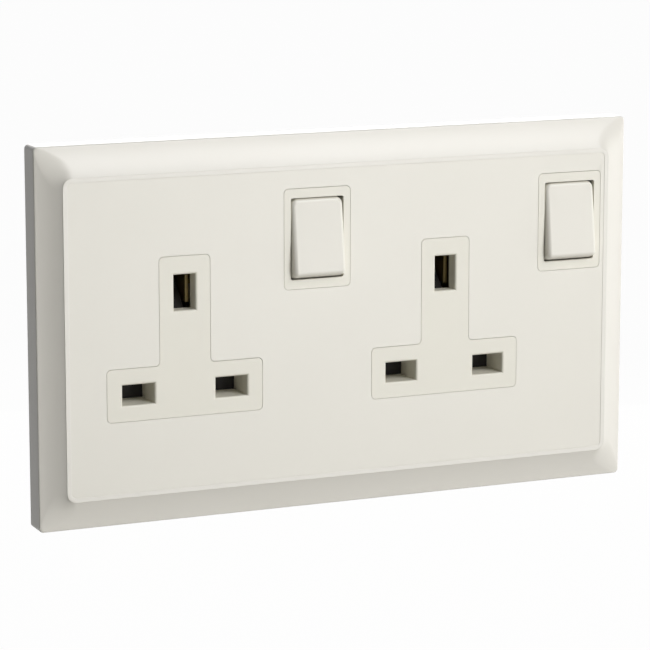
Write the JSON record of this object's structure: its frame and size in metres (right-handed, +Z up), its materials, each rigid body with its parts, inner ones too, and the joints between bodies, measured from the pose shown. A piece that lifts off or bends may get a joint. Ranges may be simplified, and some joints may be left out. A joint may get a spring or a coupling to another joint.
{
  "type": "uk twin socket",
  "caption": "Switched mains socket outlet for two square-pin plugs on a landscape plate with a hollowed border, rocker switches, shutters and clamp terminals.",
  "frame": {"origin": "middle of the plate on the wall face, between the fixing slots", "axes": "+X right as seen from the room, +Y back into the wall, +Z up"},
  "size_m": [0.146, 0.0305, 0.086],
  "materials": {
    "surround_urea": "moulded, satin gloss, pearl white",
    "panel_urea": "moulded, fine satin, pearl white",
    "socket_urea": "moulded, fine satin, warm white",
    "rocker_urea": "moulded, satin gloss, warm white",
    "rear_nylon": "moulded, matt",
    "shutter_nylon": "moulded, matt black",
    "plunger_acetal": "moulded, smooth",
    "zinc_steel": "pressed sheet, bright zinc plate",
    "zinc_screw": "zinc plate",
    "brass_screw": "turned brass",
    "brass_strip": "rolled strip",
    "spring_steel": "drawn wire"
  },
  "bodies": {
    "root": {"surround": "surround_urea", "front_panel": "panel_urea", "socket_moulding": "socket_urea", "rear_housing": "rear_nylon", "support_frame": "zinc_steel", "live_bar": "brass_strip", "neutral_bar": "brass_strip", "earth_bar": "brass_strip", "housing_screws": "zinc_screw", "terminal_screws": "brass_screw", "live_contact_left": "brass_strip", "shutter_spring_left": "spring_steel", "live_contact_right": "brass_strip", "shutter_spring_right": "spring_steel"},
    "rocker_left": {"rocker_left": "rocker_urea", "plunger_spring_left": "spring_steel"},
    "plunger_left": {"plunger_left": "plunger_acetal"},
    "moving_contact_left": {"moving_contact_left": "brass_strip"},
    "shutter_left": {"shutter_left": "shutter_nylon"},
    "rocker_right": {"rocker_right": "rocker_urea", "plunger_spring_right": "spring_steel"},
    "plunger_right": {"plunger_right": "plunger_acetal"},
    "moving_contact_right": {"moving_contact_right": "brass_strip"},
    "shutter_right": {"shutter_right": "shutter_nylon"}
  },
  "joints": [
    {"name": "rocker_left_hinge", "type": "hinge", "parent": "root", "child": "rocker_left", "pos_m": [-0.0071, -0.0065, 0.0195], "axis": [1, 0, 0], "range_deg": [0, 14]},
    {"name": "plunger_left_slide", "type": "slide", "parent": "rocker_left", "child": "plunger_left", "axis": [0, -0.9925, 0.1219], "range_m": [0, 0.0008], "stiffness_N_per_m": 40, "springref_m": -0.001, "deforming": ["plunger_spring_left"]},
    {"name": "moving_contact_left_rock", "type": "hinge", "parent": "root", "child": "moving_contact_left", "pos_m": [-0.0071, 0.0024, 0.0195], "axis": [1, 0, 0], "range_deg": [-21, 0]},
    {"name": "shutter_left_slide", "type": "slide", "parent": "root", "child": "shutter_left", "axis": [0, 0, -1], "range_m": [0, 0.006], "stiffness_N_per_m": 40, "springref_m": -0.003, "deforming": ["shutter_spring_left"]},
    {"name": "rocker_right_hinge", "type": "hinge", "parent": "root", "child": "rocker_right", "pos_m": [0.05715, -0.0065, 0.0195], "axis": [1, 0, 0], "range_deg": [0, 14]},
    {"name": "plunger_right_slide", "type": "slide", "parent": "rocker_right", "child": "plunger_right", "axis": [0, -0.9925, 0.1219], "range_m": [0, 0.0008], "stiffness_N_per_m": 40, "springref_m": -0.001, "deforming": ["plunger_spring_right"]},
    {"name": "moving_contact_right_rock", "type": "hinge", "parent": "root", "child": "moving_contact_right", "pos_m": [0.05715, 0.0024, 0.0195], "axis": [1, 0, 0], "range_deg": [-21, 0]},
    {"name": "shutter_right_slide", "type": "slide", "parent": "root", "child": "shutter_right", "axis": [0, 0, -1], "range_m": [0, 0.006], "stiffness_N_per_m": 40, "springref_m": -0.003, "deforming": ["shutter_spring_right"]}
  ],
  "couplings": [
    {"joint": "moving_contact_left_rock", "follows": "rocker_left_hinge", "ratio": -1.5},
    {"joint": "moving_contact_right_rock", "follows": "rocker_right_hinge", "ratio": -1.5}
  ]
}
